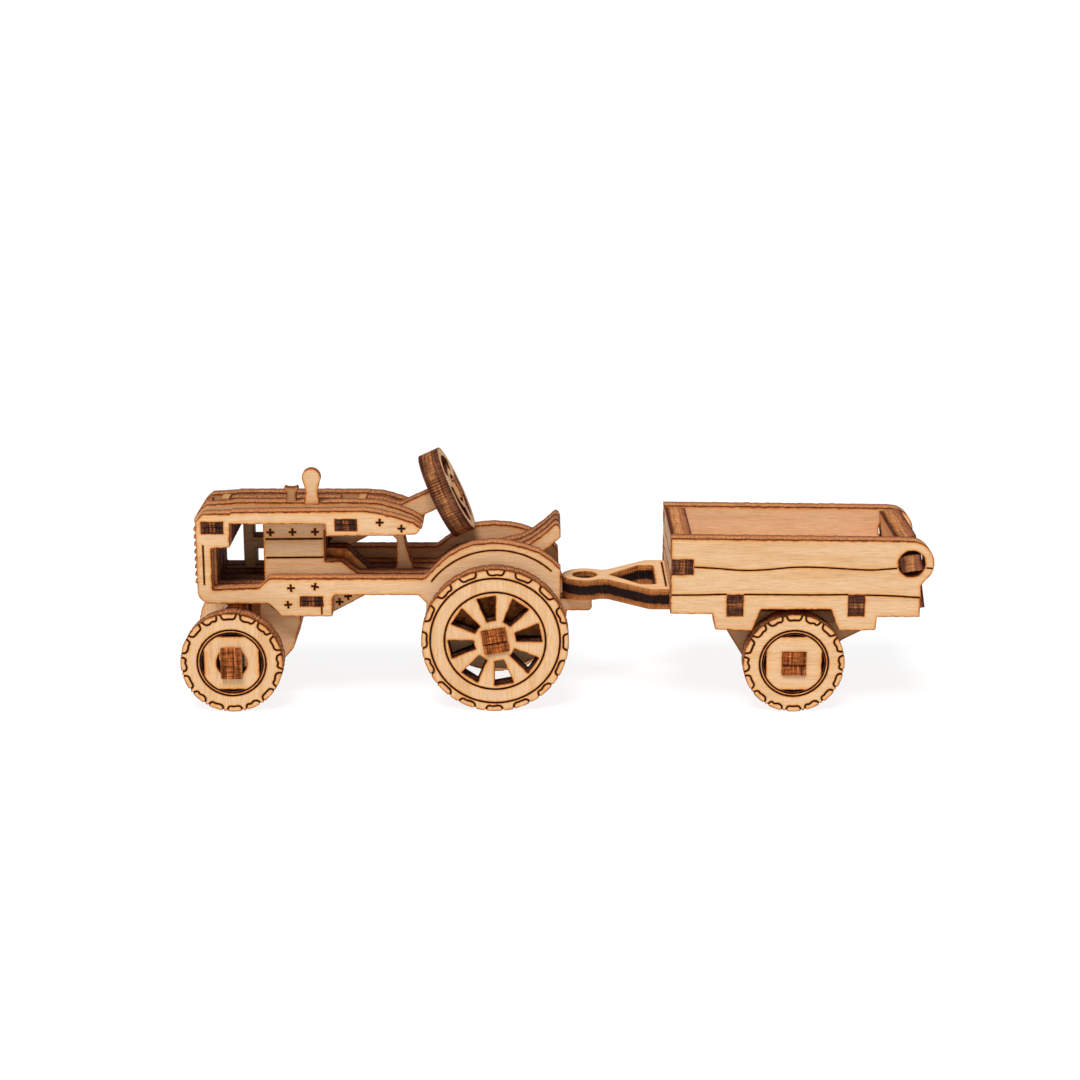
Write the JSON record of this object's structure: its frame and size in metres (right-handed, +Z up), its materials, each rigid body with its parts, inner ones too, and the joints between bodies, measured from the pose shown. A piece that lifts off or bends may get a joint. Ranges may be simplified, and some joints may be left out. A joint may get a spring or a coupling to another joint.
{
  "type": "toy tractor with trailer",
  "caption": "Slotted plywood toy tractor with open sides, spoked wheels and a tipping-gate trailer on a peg hitch; wheels, steering wheel, hitch and tailgate turn.",
  "frame": {"origin": "under the middle of the footprint, on the ground", "axes": "+Z up, the tractor drives towards -X with the trailer behind it towards +X, +Y is the tractor's right-hand side"},
  "size_m": [0.1446, 0.0314, 0.0491],
  "materials": {
    "birch_ply": "raw birch plywood face, unvarnished",
    "burnt_ply_end": "laser-burnt end grain"
  },
  "bodies": {
    "tractor": {"side_panel_left": "birch_ply", "side_panel_right": "birch_ply", "engine_board_left": "birch_ply", "engine_board_right": "birch_ply", "centre_board": "birch_ply", "nose_crosspiece": "burnt_ply_end", "hood_crosspiece": "burnt_ply_end", "sump_crosspiece": "burnt_ply_end", "front_axle": "birch_ply", "exhaust_stack": "birch_ply", "filler_cap": "birch_ply"},
    "front_wheel_left": {"front_wheel_left": "birch_ply"},
    "front_wheel_right": {"front_wheel_right": "birch_ply"},
    "rear_wheelset": {"rear_axle": "birch_ply", "rear_wheel_left": "birch_ply", "rear_wheel_right": "birch_ply"},
    "steering_wheel": {"steering_wheel": "birch_ply"},
    "trailer": {"trailer_floor": "birch_ply", "trailer_side_left": "birch_ply", "trailer_side_right": "birch_ply", "trailer_front_wall": "birch_ply", "axle_hanger_left": "birch_ply", "axle_hanger_right": "birch_ply"},
    "trailer_wheelset": {"trailer_axle": "birch_ply", "trailer_wheel_left": "birch_ply", "trailer_wheel_right": "birch_ply"},
    "tailgate": {"tailgate": "birch_ply"}
  },
  "joints": [
    {"name": "front_wheel_left_spin", "type": "hinge", "parent": "tractor", "child": "front_wheel_left", "pos_m": [-0.06237, -0.0126, 0.0099], "axis": [0, 1, 0], "continuous": true},
    {"name": "front_wheel_right_spin", "type": "hinge", "parent": "tractor", "child": "front_wheel_right", "pos_m": [-0.06237, 0.0126, 0.0099], "axis": [0, 1, 0], "continuous": true},
    {"name": "rear_axle_spin", "type": "hinge", "parent": "tractor", "child": "rear_wheelset", "pos_m": [-0.01153, 0, 0.01425], "axis": [0, 1, 0], "continuous": true},
    {"name": "steering_turn", "type": "hinge", "parent": "tractor", "child": "steering_wheel", "pos_m": [-0.02107, 0, 0.0403], "axis": [0.9063, 0, 0.4226], "continuous": true},
    {"name": "hitch_yaw", "type": "hinge", "parent": "tractor", "child": "trailer", "pos_m": [0.00596, 0, 0.0215], "axis": [0, 0, 1], "range_deg": [-60, 60]},
    {"name": "trailer_axle_spin", "type": "hinge", "parent": "trailer", "child": "trailer_wheelset", "pos_m": [0.04612, 0, 0.0098], "axis": [0, 1, 0], "continuous": true},
    {"name": "tailgate_hinge", "type": "hinge", "parent": "trailer", "child": "tailgate", "pos_m": [0.06797, 0, 0.0298], "axis": [0, -1, 0], "range_deg": [0, 85]}
  ]
}
